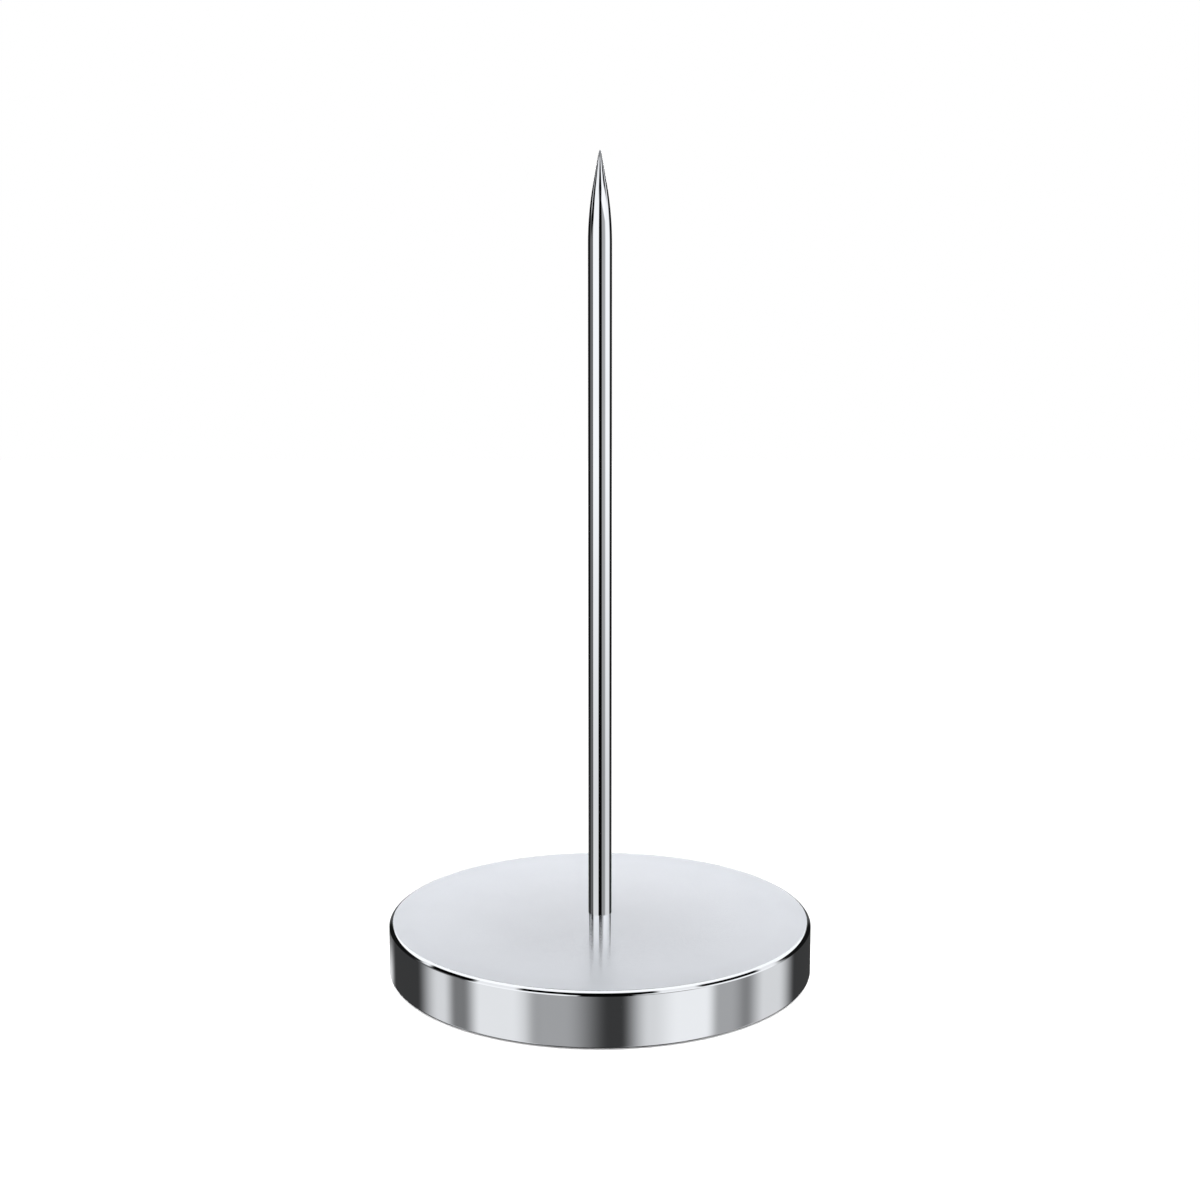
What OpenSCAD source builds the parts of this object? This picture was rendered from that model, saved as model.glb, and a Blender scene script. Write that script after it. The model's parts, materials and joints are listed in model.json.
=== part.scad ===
// A desk bill spike: a weighted round base with one upright pointed rod.
// The origin is the middle of the pad's underside, and the rod stands along +Z.

/* [Overall] */
// Height of the spike's tip above the surface that the base stands on
overall_h = 152; // [120:1:200]
// Diameter of the base
base_d = 80; // [60:1:110]
// Height of the base's top face above the surface
base_h = 10; // [9:0.5:16]

/* [Spike] */
// Diameter of the straight shank
spike_d = 4.4; // [4.2:0.1:6]
// Half-angle of the cone that is ground on the point
point_angle = 10.3; // [8:0.1:14]
// Radius of the long curve that blends the cone into the shank
point_blend_r = 60; // [20:1:90]
// Radius left on the very tip
tip_r = 0.2; // [0.1:0.05:0.4]

/* [Cover] */
// Thickness of the pressed sheet
cover_wall = 0.5; // [0.4:0.05:0.6]
// Outside radius where the top face turns down into the rim
top_edge_r = 0.8; // [0.7:0.1:2]
// Outside radius where the rim is rolled in under the weight
rim_roll_r = 0.7; // [0.65:0.05:1.2]
// Width of the rolled-in lip, measured in from the outside of the rim
lip_reach = 3; // [2:0.25:6]
// Height of the lip above the surface
rim_lift = 0.3; // [0.2:0.05:0.6]

/* [Weight] */
// Gap between the weight and the rim
weight_gap = 0.1; // [0.05:0.05:0.3]
// Extra radius on the weight's edges, so that they clear the bends of the cover
weight_edge_extra = 0.3; // [0.1:0.1:0.8]
// Diameter of the pocket that holds the nut and the washers
pocket_d = 12; // [10:0.5:16]
// Radius in the pocket's upper corner
pocket_corner_r = 0.8; // [0.2:0.1:1.2]

/* [Pad] */
// Thickness of the non-slip pad
pad_t = 1; // [0.7:0.1:1.3]
// Thickness of the adhesive disc
adhesive_t = 0.15; // [0.1:0.05:0.3]
// Gap between the pad and the lip round it
pad_edge_gap = 0.3; // [0.2:0.1:1]
// Round on the pad's lower edge
pad_edge_r = 0.2; // [0.1:0.05:0.4]
// How far the adhesive stops short of the pad's edge
adhesive_inset = 0.5; // [0.2:0.1:2]

/* [Thread and nut] */
// Nominal diameter of the tail's thread, and of the plain stretch above it
thread_d = 3; // [2.5:0.5:3.5]
// Gap round the tail where it passes through the cover and the weight
tail_gap = 0.15; // [0.05:0.05:0.25]
// Pitch of the thread
thread_pitch = 0.5; // [0.4:0.05:0.6]
// Radial play between the tail's thread and the nut's
thread_play = 0.03; // [0.02:0.01:0.05]
// Length of thread that shows past the nut
thread_spare = 0.8; // [0.5:0.1:1.2]
// Gap between the tail's end and the adhesive
tail_end_gap = 0.35; // [0.2:0.05:1]
// Distance across the nut's flats
nut_af = 5.5; // [5.5:0.5:7]
// Thickness of the nut
nut_t = 2.4; // [1.8:0.1:2.8]

/* [Washers] */
// Outside diameter of the flat washer
washer_od = 7; // [6:0.5:9]
// Thickness of the flat washer
washer_t = 0.5; // [0.4:0.1:0.8]
// Play between the thread and the flat washer's hole, on the diameter
washer_play = 0.2; // [0.1:0.1:0.4]
// Outside diameter of the split washer
lock_od = 6.2; // [5.5:0.1:6.8]
// Thickness of the split washer
lock_t = 0.8; // [0.6:0.1:1]
// Play between the thread and the split washer's hole, on the diameter
lock_play = 0.1; // [0.05:0.05:0.3]
// Width of the split
lock_split = 0.6; // [0.3:0.1:1]
// Slant of the split from upright
lock_slant = 25; // [0:1:40]

/* [Hidden] */
$fn = 96;

// Length by which a cut runs past the face that it opens
cut_past = 1;
// Length by which one stretch of a piece runs on inside the next, so that they are one solid
join_past = 0.3;
base_r = base_d / 2;
spike_r = spike_d / 2;
thread_r = thread_d / 2;

// Heights, from the surface up
adhesive_z = pad_t;
pad_seat_z = adhesive_z + adhesive_t;
lip_top_z = rim_lift + cover_wall;
tail_end_z = pad_seat_z + tail_end_gap;
nut_z = tail_end_z + thread_spare;
lock_z = nut_z + nut_t;
washer_z = lock_z + lock_t;
pocket_top_z = washer_z + washer_t;
weight_top_z = base_h - cover_wall;

// Radii in the base
lip_r = base_r - lip_reach;
cover_inner_r = base_r - cover_wall;
weight_r = cover_inner_r - weight_gap;
pad_r = lip_r - pad_edge_gap;
weight_step_r = lip_r - pad_edge_gap / 2;
tail_hole_r = thread_r + tail_gap;

// Inside and outside radii of the cover's two bends, and the weight's edges inside them
top_bend_r = top_edge_r - cover_wall;
roll_bend_r = rim_roll_r - cover_wall;
weight_top_edge_r = top_bend_r + weight_edge_extra;
weight_low_edge_r = roll_bend_r + weight_edge_extra;

// The point: the blending arc, the cone that it runs into, and the ball on the tip
arc_middle_r = spike_r - point_blend_r;
cone_base_r = arc_middle_r + point_blend_r * cos(point_angle);
ball_z = overall_h - tip_r;
cone_top_r = tip_r * cos(point_angle);
cone_top_z = ball_z + tip_r * sin(point_angle);
cone_base_z = cone_top_z - (cone_base_r - cone_top_r) / tan(point_angle);
point_base_z = cone_base_z - point_blend_r * sin(point_angle);

// The metric thread form: its depth, and where each flat starts or ends within one pitch
thread_depth = 0.5413 * thread_pitch;
thread_root_r = thread_r - thread_depth;
root_end = 1 / 4;
crest_start = 9 / 16;
crest_end = 11 / 16;
corners_a_pitch = 4;
thread_sides = 16;
// Whole turns that a thread is made too long at each end, before it is cut to length
spare_turns = 1;
thread_top_z = washer_z + washer_t / 2;

// The nut's chamfer starts at this share of its width across flats, and slopes at this angle
nut_face_share = 0.95;
nut_chamfer_angle = 30;
nut_sink = 0.15;

// Half of a round body's section, from the axis out to r. A corner radius of 0 leaves that corner square.
module rounded_half(r, low_z, high_z, low_r, high_r) {
    translate([0, low_z + low_r]) square([r, high_z - low_z - low_r - high_r]);
    if (low_r > 0) {
        translate([0, low_z]) square([r - low_r, low_r]);
        translate([r - low_r, low_z + low_r]) circle(low_r);
    }
    if (high_r > 0) {
        translate([0, high_z - high_r]) square([r - high_r, high_r]);
        translate([r - high_r, high_z - high_r]) circle(high_r);
    }
}

// The round bar between two heights
module bar(r, low_z, high_z) {
    translate([0, 0, low_z]) cylinder(r = r, h = high_z - low_z);
}

// A screw thread's whole core about the z axis: rows of points climb one pitch in each turn
module thread_core(major_r, turns) {
    root_r = major_r - thread_depth;
    corners = [[0, root_r], [root_end, root_r], [crest_start, major_r], [crest_end, major_r]];
    n = thread_sides;
    rows = corners_a_pitch * turns;
    points = [
        for (row = [0 : rows], side = [0 : n - 1])
            let (
                corner = corners[row % corners_a_pitch],
                climb = floor(row / corners_a_pitch) + corner[0] + side / n,
                a = 360 * side / n
            )
            [corner[1] * cos(a), corner[1] * sin(a), thread_pitch * climb],
        [0, 0, -thread_pitch],
        [0, 0, thread_pitch * (turns + 1)]
    ];
    low_end = len(points) - 2;
    high_end = len(points) - 1;
    low_loop = [
        for (side = [0 : n - 1]) side,
        for (row = [corners_a_pitch : -1 : 1]) row * n
    ];
    high_loop = [
        for (side = [0 : n - 1]) rows * n + side,
        for (row = [rows - 1 : -1 : rows - corners_a_pitch]) row * n + n - 1
    ];
    // Point at a row and side, where one side past the last is the first side a pitch higher
    function at(row, side) = side < n ? row * n + side : (row + corners_a_pitch) * n;
    walls = [
        for (row = [0 : rows - 1], side = [0 : n - 1])
            if (side < n - 1 || row + 1 + corners_a_pitch <= rows)
                for (half = [0, 1])
                    half == 0
                        ? [at(row, side), at(row + 1, side), at(row + 1, side + 1)]
                        : [at(row, side), at(row + 1, side + 1), at(row, side + 1)]
    ];
    low_fan = [
        for (i = [0 : len(low_loop) - 1])
            [low_end, low_loop[i], low_loop[(i + 1) % len(low_loop)]]
    ];
    high_fan = [
        for (i = [0 : len(high_loop) - 1])
            [high_end, high_loop[(i + 1) % len(high_loop)], high_loop[i]]
    ];
    polyhedron(points, concat(walls, low_fan, high_fan));
}

// The thread's core from one height to another and past both, in step with every other thread here
module thread_between(major_r, low_z, high_z) {
    low_turn = floor((low_z - tail_end_z) / thread_pitch) - spare_turns;
    high_turn = ceil((high_z - tail_end_z) / thread_pitch) + spare_turns;
    translate([0, 0, tail_end_z + low_turn * thread_pitch]) thread_core(major_r, high_turn - low_turn);
}

// Half the section of the shank and its point, from the shoulder that sits on the cover
module shank_section() {
    translate([0, base_h]) square([spike_r, point_base_z - base_h]);
    intersection() {
        translate([arc_middle_r, point_base_z]) circle(point_blend_r, $fn = 720);
        translate([0, point_base_z]) square([spike_r, cone_base_z - point_base_z]);
    }
    polygon([
        [0, cone_base_z], [cone_base_r, cone_base_z], [cone_top_r, cone_top_z], [0, cone_top_z]
    ]);
    intersection() {
        translate([0, ball_z]) circle(tip_r);
        translate([0, cone_top_z]) square([tip_r, tip_r]);
    }
}

// The threaded end of the spike, chamfered at the bottom and run on into the plain tail
module tail_thread() {
    run_z = thread_top_z + join_past;
    intersection() {
        thread_between(thread_r - thread_play, tail_end_z, run_z);
        rotate_extrude() polygon([
            [0, tail_end_z], [thread_root_r, tail_end_z],
            [thread_d, tail_end_z + thread_d - thread_root_r],
            [thread_d, run_z], [0, run_z]
        ]);
    }
}

// The chromed rod: ground point, straight shank, shoulder and threaded tail
module spike() {
    color("gainsboro") {
        rotate_extrude() shank_section();
        bar(thread_r, thread_top_z, base_h + join_past);
        tail_thread();
    }
}

// The pressed skin: top face, rim, and the lip that is rolled in under the weight
module base_cover() {
    color("gainsboro") rotate_extrude() difference() {
        rounded_half(base_r, rim_lift, base_h, rim_roll_r, top_edge_r);
        rounded_half(cover_inner_r, lip_top_z, weight_top_z, roll_bend_r, top_bend_r);
        translate([0, rim_lift - cut_past]) square([lip_r, cover_wall + cut_past * 2]);
        translate([0, weight_top_z - cut_past]) square([tail_hole_r, cover_wall + cut_past * 2]);
    }
}

// The cast-iron disc, with the tail's hole in the middle and the nut's pocket underneath
module base_weight() {
    color("dimgray") rotate_extrude() difference() {
        union() {
            rounded_half(weight_r, lip_top_z, weight_top_z, weight_low_edge_r, weight_top_edge_r);
            translate([0, min(lip_top_z, pad_seat_z)]) square([weight_step_r, cover_wall]);
        }
        translate([0, pad_seat_z - cut_past * 2]) square([weight_step_r, cut_past * 2]);
        rounded_half(pocket_d / 2, pad_seat_z - cut_past, pocket_top_z, 0, pocket_corner_r);
        square([tail_hole_r, base_h]);
    }
}

// The plain washer against the pocket's ceiling
module flat_washer() {
    hole_r = (thread_d + washer_play) / 2;
    color("silver") difference() {
        bar(washer_od / 2, washer_z, pocket_top_z);
        bar(hole_r, washer_z - cut_past, pocket_top_z + cut_past);
    }
}

// The spring washer, drawn flat, with its slanted split
module lock_washer() {
    hole_r = (thread_d + lock_play) / 2;
    color("darkgray") difference() {
        bar(lock_od / 2, lock_z, washer_z);
        bar(hole_r, lock_z - cut_past, washer_z + cut_past);
        translate([0, 0, lock_z + lock_t / 2]) rotate([lock_slant, 0, 0])
            translate([0, -lock_split / 2, -lock_t * 2]) cube([lock_od, lock_split, lock_t * 4]);
    }
}

// The nut: a hexagon with chamfered corners and its own thread
module hex_nut() {
    across_corners_r = nut_af / 2 / cos(30);
    face_r = nut_af / 2 * nut_face_share;
    rim_r = across_corners_r + nut_sink;
    fall = (rim_r - face_r) * tan(nut_chamfer_angle);
    mouth_r = thread_r + nut_sink;
    color("silver") difference() {
        intersection() {
            translate([0, 0, nut_z]) cylinder(r = across_corners_r, h = nut_t, $fn = 6);
            rotate_extrude() polygon([
                [0, nut_z], [face_r, nut_z], [rim_r, nut_z + fall],
                [rim_r, lock_z - fall], [face_r, lock_z], [0, lock_z]
            ]);
        }
        thread_between(thread_r, nut_z, lock_z);
        rotate_extrude() polygon([
            [0, nut_z - cut_past], [mouth_r, nut_z - cut_past], [mouth_r, nut_z], [0, nut_z + mouth_r]
        ]);
        rotate_extrude() polygon([
            [0, lock_z + cut_past], [mouth_r, lock_z + cut_past], [mouth_r, lock_z], [0, lock_z - mouth_r]
        ]);
    }
}

// The adhesive disc that holds the pad and shuts the pocket
module pad_adhesive() {
    color("oldlace") bar(pad_r - adhesive_inset, adhesive_z, pad_seat_z);
}

// The non-slip pad that the base stands on
module grip_pad() {
    color("#26262a") rotate_extrude() rounded_half(pad_r, 0, pad_t, pad_edge_r, 0);
}

spike();
base_cover();
base_weight();
flat_washer();
lock_washer();
hex_nut();
pad_adhesive();
grip_pad();
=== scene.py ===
"""Looks of a desk bill spike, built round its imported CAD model.

Lengths are in metres, in the CAD model's own frame: the origin is the middle of the pad's
underside, +Z runs up the spike, and the camera stands on the -Y side.
"""

import json
import logging
import math
from contextlib import contextmanager
from dataclasses import dataclass
from enum import Enum
from typing import Callable, Iterator, NamedTuple, Union

import bmesh
import bpy
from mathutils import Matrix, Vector

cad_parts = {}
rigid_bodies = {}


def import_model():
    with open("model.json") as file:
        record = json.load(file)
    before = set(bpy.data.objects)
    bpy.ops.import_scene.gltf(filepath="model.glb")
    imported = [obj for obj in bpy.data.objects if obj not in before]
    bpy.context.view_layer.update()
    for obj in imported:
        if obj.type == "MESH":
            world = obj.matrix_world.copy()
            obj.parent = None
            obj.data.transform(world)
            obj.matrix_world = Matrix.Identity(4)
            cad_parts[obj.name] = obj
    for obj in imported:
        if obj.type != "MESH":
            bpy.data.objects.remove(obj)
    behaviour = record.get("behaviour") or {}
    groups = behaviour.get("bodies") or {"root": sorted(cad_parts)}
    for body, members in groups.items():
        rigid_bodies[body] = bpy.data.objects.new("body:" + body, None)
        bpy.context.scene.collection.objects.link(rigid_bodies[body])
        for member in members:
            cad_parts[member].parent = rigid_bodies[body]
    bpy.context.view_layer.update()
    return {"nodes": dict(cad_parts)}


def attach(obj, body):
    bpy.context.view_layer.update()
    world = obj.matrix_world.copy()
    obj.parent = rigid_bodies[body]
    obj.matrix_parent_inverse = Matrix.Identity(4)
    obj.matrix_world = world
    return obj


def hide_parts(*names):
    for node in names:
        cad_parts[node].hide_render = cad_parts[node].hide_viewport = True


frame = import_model()

MM = 0.001
ROOT = "root"
LEVEL_SLACK = 1e-7
RING_SLACK = 1e-6
CUT_SLACK = 1e-8
MERGE_WITHIN = 1e-7

log = logging.getLogger("bill_spike")

Socket = bpy.types.NodeSocket
Feed = Union[float, tuple, Socket]
Feeds = dict[Union[str, int], Feed]
Pair = tuple[float, float]
Line = tuple[Pair, ...]
Triple = tuple[float, float, float]


class Ramp(NamedTuple):
    """A range of a number, what its ends become, and whether they are eased."""

    low: float
    high: float
    start: float = 0.0
    end: float = 1.0
    smooth: bool = True


class Window(NamedTuple):
    """A range of a number, and half the width of its soft ends."""

    low: float
    high: float
    fade: float


class Cloud(NamedTuple):
    """Cloudy noise: its size, how many finer layers it has and how strong they are."""

    size: float
    detail: float
    rough: float


class Round(NamedTuple):
    """A rounded edge: its radius, its facets, and its fullness, which is a half for a true round."""

    radius: float
    facets: int
    fullness: float = 0.5


class Slot(Enum):
    """The record's material slots of the pieces that are made here."""

    ROD = "chrome_rod"
    SHEET = "chrome_sheet"
    RUBBER = "pad_rubber"


class Lay(Enum):
    """The way that the polishing lines run on a turned or pressed face."""

    UP_THE_AXIS = "rings stacked along the axis"
    ACROSS_THE_TOP = "rings about the middle of a flat face"


# Node graphs


class Graph:
    """A node tree that is filled in step by step."""

    def __init__(self, tree: bpy.types.NodeTree) -> None:
        """Empty a node tree and keep it for the steps that follow.

        Args:
            tree: The node tree of a material or of the world.
        """
        tree.nodes.clear()
        self.tree = tree

    def add(self, kind: str, feeds: Union[Feeds, None] = None, **settings: object) -> bpy.types.Node:
        """Add one node, set it up and feed its inputs.

        Args:
            kind: Blender's name of the node's type.
            feeds: A socket to link, or a value to set, for each input by name or number.
            settings: The node's own settings.

        Returns:
            The new node.
        """
        node = self.tree.nodes.new(kind)
        for name, value in settings.items():
            setattr(node, name, value)
        for name, value in (feeds or {}).items():
            if isinstance(value, Socket):
                self.tree.links.new(value, node.inputs[name])
            else:
                node.inputs[name].default_value = value
        return node

    def sum(self, operation: str, *terms: Feed) -> Socket:
        """Work out one step of arithmetic, by Blender's name of the operation."""
        return self.add("ShaderNodeMath", dict(enumerate(terms)), operation=operation).outputs[0]

    def times(self, first: Feed, second: Feed) -> Socket:
        """Multiply two numbers."""
        return self.sum("MULTIPLY", first, second)

    def place(self) -> Socket:
        """Give the place on the piece, in metres."""
        return self.add("ShaderNodeTexCoord").outputs["Object"]

    def from_axis(self, place: Socket) -> tuple[Socket, Socket]:
        """Measure a place from the upright axis.

        Args:
            place: The place.

        Returns:
            The distance from the axis, and the height.
        """
        x, y, z = self.add("ShaderNodeSeparateXYZ", {0: place}).outputs
        return self.sum("SQRT", self.sum("ADD", self.times(x, x), self.times(y, y))), z

    def span(
        self, value: Feed, low: float, high: float, start: float = 0.0, end: float = 1.0, smooth: bool = True
    ) -> Socket:
        """Carry a number from one range over to another and hold it there.

        Args:
            value: The number.
            low: The first range's start.
            high: The first range's end.
            start: The result at the start.
            end: The result at the end.
            smooth: Whether the result eases in and out at the ends.

        Returns:
            The result.
        """
        feeds = {"Value": value, "From Min": low, "From Max": high, "To Min": start, "To Max": end}
        kind = "SMOOTHSTEP" if smooth else "LINEAR"
        return self.add("ShaderNodeMapRange", feeds, interpolation_type=kind, clamp=True).outputs["Result"]

    def window(self, value: Feed, low: float, high: float, low_fade: float, high_fade: float = 0.0) -> Socket:
        """Tell whether a number is within a range, with soft ends.

        Args:
            value: The number.
            low: The range's start.
            high: The range's end.
            low_fade: Half the width of the soft start.
            high_fade: The same for the soft end, or 0 where both are alike.

        Returns:
            1 within the range and 0 outside it.
        """
        high_fade = high_fade or low_fade
        start = self.span(value, low - low_fade, low + low_fade)
        end = self.span(value, high - high_fade, high + high_fade, 1.0, 0.0)
        return self.times(start, end)

    def line(self, value: Feed, points: Line) -> Socket:
        """Follow a broken line through given points.

        Args:
            value: The place along the line.
            points: The place and the height of each corner, in order.

        Returns:
            The height there.
        """
        (low, start), (high, end) = points[0], points[-1]
        most = max(height for _, height in points)
        ramp = self.add("ShaderNodeValToRGB", {0: self.span(value, low, high, smooth=False)})
        corners = ramp.color_ramp.elements
        corners[0].color = (start / most,) * 3 + (1.0,)
        corners[1].color = (end / most,) * 3 + (1.0,)
        for place, height in points[1:-1]:
            corners.new((place - low) / (high - low)).color = (height / most,) * 3 + (1.0,)
        return self.times(ramp.outputs[0], most)

    def between(self, share: Feed, first: Feed, second: Feed, label: str = "") -> Socket:
        """Mix two numbers, from all of the first at a share of 0 to all of the second at 1."""
        feeds = {0: share, 2: first, 3: second}
        return self.add("ShaderNodeMix", feeds, data_type="FLOAT", label=label).outputs[0]

    def colours(self, share: Feed, first: Feed, second: Feed) -> Socket:
        """Mix two colours, from all of the first at a share of 0 to all of the second at 1."""
        return self.add("ShaderNodeMix", {0: share, 6: first, 7: second}, data_type="RGBA").outputs[2]

    def noise(self, at: Feed, cloud: Cloud) -> Socket:
        """Make cloudy noise, which runs from 0 to 1 and is mostly near a half."""
        feeds = {"Vector": at, "Scale": 1.0 / cloud.size, "Detail": cloud.detail, "Roughness": cloud.rough}
        return self.add("ShaderNodeTexNoise", feeds).outputs[0]

    def raised(self, height: Feed, depth: float, below: Union[Socket, None] = None) -> Socket:
        """Turn a height into a bump.

        Args:
            height: The height, from 0 to 1.
            depth: How deep the bump is, in metres.
            below: The bump that this one lies on.

        Returns:
            The bumped normal.
        """
        feeds = {"Height": height, "Distance": depth, "Strength": 1.0}
        if below is not None:
            feeds["Normal"] = below
        return self.add("ShaderNodeBump", feeds).outputs[0]


def new_material(name: str) -> tuple[bpy.types.Material, Graph]:
    """Make an empty material.

    Args:
        name: The material's name.

    Returns:
        The material, and its node tree ready to be filled.
    """
    material = bpy.data.materials.new(name)
    material.use_nodes = True
    return material, Graph(material.node_tree)


def surface(graph: Graph, **feeds: Feed) -> None:
    """Finish a material with one shader.

    Args:
        graph: The material's node tree.
        feeds: The shader's inputs, with an underscore for each space.
    """
    named = {name.replace("_", " "): value for name, value in feeds.items()}
    shader = graph.add("ShaderNodeBsdfPrincipled", named)
    graph.add("ShaderNodeOutputMaterial", {"Surface": shader.outputs[0]})


# Finishes


@dataclass(frozen=True)
class Chrome:
    """Bright chrome plate over polished steel."""

    name: str
    lay: Lay
    tint: Triple = (0.79, 0.81, 0.84)
    deep_share: float = 0.985
    deep_at: Pair = (0.4, 0.8)
    gloss: float = 0.03
    haze: float = 0.03
    haze_at: Pair = (0.35, 0.75)
    smear: Cloud = Cloud(9.0 * MM, 4.0, 0.55)
    lines: Cloud = Cloud(0.12 * MM, 2.0, 0.7)
    line_depth: float = 0.00003 * MM
    wave: Cloud = Cloud(6.0 * MM, 1.0, 0.4)
    wave_depth: float = 0.0004 * MM
    face_height: float = 0.0
    face_from: float = 0.03 * MM
    face_to: float = 0.01 * MM
    face_gloss: float = 0.35
    face_haze: float = 0.01
    face_haze_at: Pair = (0.3, 0.7)
    face_milk: float = 0.05
    mirror_grain: float = 0.03 * MM
    mirror_most: float = 0.0
    clear_inner_r: float = 0.0
    clear_outer_r: float = 0.0
    clear_most: float = 0.0
    clear_ior: float = 3.0
    clear_gloss: float = 0.03

    def paint(self) -> bpy.types.Material:
        """Make the material: cool bright metal, faint polishing lines, and a flat top that dulls outwards.

        Returns:
            The material.
        """
        material, graph = new_material(self.name)
        place = graph.place()
        radius, z = graph.from_axis(place)

        smear = graph.noise(place, self.smear)
        polished = graph.span(smear, *self.haze_at, self.gloss, self.gloss + self.haze)
        across = z
        clear: Feed = 0.0
        metal: Feed = 1.0
        if self.lay is Lay.ACROSS_THE_TOP:
            top = graph.span(z, self.face_height - self.face_from, self.face_height - self.face_to)
            across = graph.between(top, z, radius)
            duller = self.face_gloss + self.face_haze
            satin = graph.span(smear, *self.face_haze_at, self.face_gloss - self.face_haze, duller)
            near = graph.span(radius, self.clear_inner_r, self.clear_outer_r, 1.0, 0.0, smooth=False)
            grain = graph.add("ShaderNodeTexVoronoi", {"Vector": place, "Scale": 1.0 / self.mirror_grain})
            flat = graph.sum("LESS_THAN", grain.outputs["Color"], graph.times(near, self.mirror_most))
            satin = graph.between(flat, satin, self.gloss)
            polished = graph.between(top, polished, satin)
            milky = graph.times(top, graph.sum("SUBTRACT", 1.0, flat))
            metal = graph.between(milky, 1.0, 1.0 - self.face_milk)
            clear = graph.times(top, graph.times(near, self.clear_most))
        rings = graph.noise(graph.add("ShaderNodeCombineXYZ", {2: across}).outputs[0], self.lines)
        normal = graph.raised(graph.noise(place, self.wave), self.wave_depth)
        normal = graph.raised(rings, self.line_depth, normal)

        cool = (*self.tint, 1.0)
        deep = tuple(self.deep_share * part for part in self.tint) + (1.0,)
        colour = graph.colours(graph.span(smear, *self.deep_at), cool, deep)
        surface(
            graph,
            Base_Color=colour,
            Metallic=metal,
            Roughness=polished,
            Normal=normal,
            Coat_Weight=clear,
            Coat_IOR=self.clear_ior,
            Coat_Roughness=self.clear_gloss,
        )
        return material


@dataclass(frozen=True)
class CastIron:
    """Bare iron with the grain of fine moulding sand."""

    name: str = "bare_cast_iron"
    dark: Triple = (0.060, 0.060, 0.066)
    pale: Triple = (0.135, 0.135, 0.142)
    pale_at: Pair = (0.35, 0.7)
    rust: Triple = (0.150, 0.085, 0.050)
    rusty: Ramp = Ramp(0.58, 0.78, 0.0, 0.35)
    dulled: Ramp = Ramp(0.3, 0.7, 0.62, 0.86)
    metal: float = 0.55
    grain: Cloud = Cloud(0.35 * MM, 5.0, 0.65)
    grain_depth: float = 0.03 * MM
    patches: Cloud = Cloud(12.0 * MM, 4.0, 0.6)

    def paint(self) -> bpy.types.Material:
        """Make the material: grey sand grain, a few rubbed patches and a breath of rust.

        Returns:
            The material.
        """
        material, graph = new_material(self.name)
        place = graph.place()
        grain = graph.noise(place, self.grain)
        patch = graph.noise(place, self.patches)
        body = graph.colours(graph.span(grain, *self.pale_at), (*self.dark, 1.0), (*self.pale, 1.0))
        colour = graph.colours(graph.span(patch, *self.rusty), body, (*self.rust, 1.0))
        rough = graph.span(patch, *self.dulled)
        normal = graph.raised(grain, self.grain_depth)
        surface(graph, Base_Color=colour, Metallic=self.metal, Roughness=rough, Normal=normal)
        return material


@dataclass(frozen=True)
class SmallHardware:
    """Plated or oiled steel of a nut or a washer."""

    name: str
    pale: Triple
    dark: Triple
    gloss: float
    haze: float = 0.14
    haze_at: Pair = (0.3, 0.7)
    dark_at: Pair = (0.35, 0.65)
    mottle: Cloud = Cloud(1.2 * MM, 4.0, 0.6)
    scratches: Cloud = Cloud(0.1 * MM, 2.0, 0.6)
    scratch_depth: float = 0.002 * MM

    def paint(self) -> bpy.types.Material:
        """Make the material: mottled metal with fine turning lines.

        Returns:
            The material.
        """
        material, graph = new_material(self.name)
        place = graph.place()
        radius, z = graph.from_axis(place)
        mottle = graph.noise(place, self.mottle)
        turned = graph.add("ShaderNodeCombineXYZ", {0: radius, 2: z}).outputs[0]
        colour = graph.colours(graph.span(mottle, *self.dark_at), (*self.pale, 1.0), (*self.dark, 1.0))
        rough = graph.span(mottle, *self.haze_at, self.gloss, self.gloss + self.haze)
        normal = graph.raised(graph.noise(turned, self.scratches), self.scratch_depth)
        surface(graph, Base_Color=colour, Metallic=1.0, Roughness=rough, Normal=normal)
        return material


@dataclass(frozen=True)
class AdhesiveFilm:
    """Cloudy double-sided acrylic film."""

    name: str = "cloudy_adhesive_film"
    clear: Triple = (0.80, 0.76, 0.64)
    cloudy: Triple = (0.66, 0.61, 0.49)
    cloudy_at: Pair = (0.35, 0.7)
    dulled: Ramp = Ramp(0.3, 0.7, 0.3, 0.55)
    clouds: Cloud = Cloud(5.0 * MM, 5.0, 0.6)
    blisters: Cloud = Cloud(0.8 * MM, 2.0, 0.5)
    blister_depth: float = 0.01 * MM

    def paint(self) -> bpy.types.Material:
        """Make the material: a pale yellow film with trapped air.

        Returns:
            The material.
        """
        material, graph = new_material(self.name)
        place = graph.place()
        cloud = graph.noise(place, self.clouds)
        blister = graph.noise(place, self.blisters)
        colour = graph.colours(graph.span(cloud, *self.cloudy_at), (*self.clear, 1.0), (*self.cloudy, 1.0))
        rough = graph.span(blister, *self.dulled)
        surface(graph, Base_Color=colour, Roughness=rough, Normal=graph.raised(blister, self.blister_depth))
        return material


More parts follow.
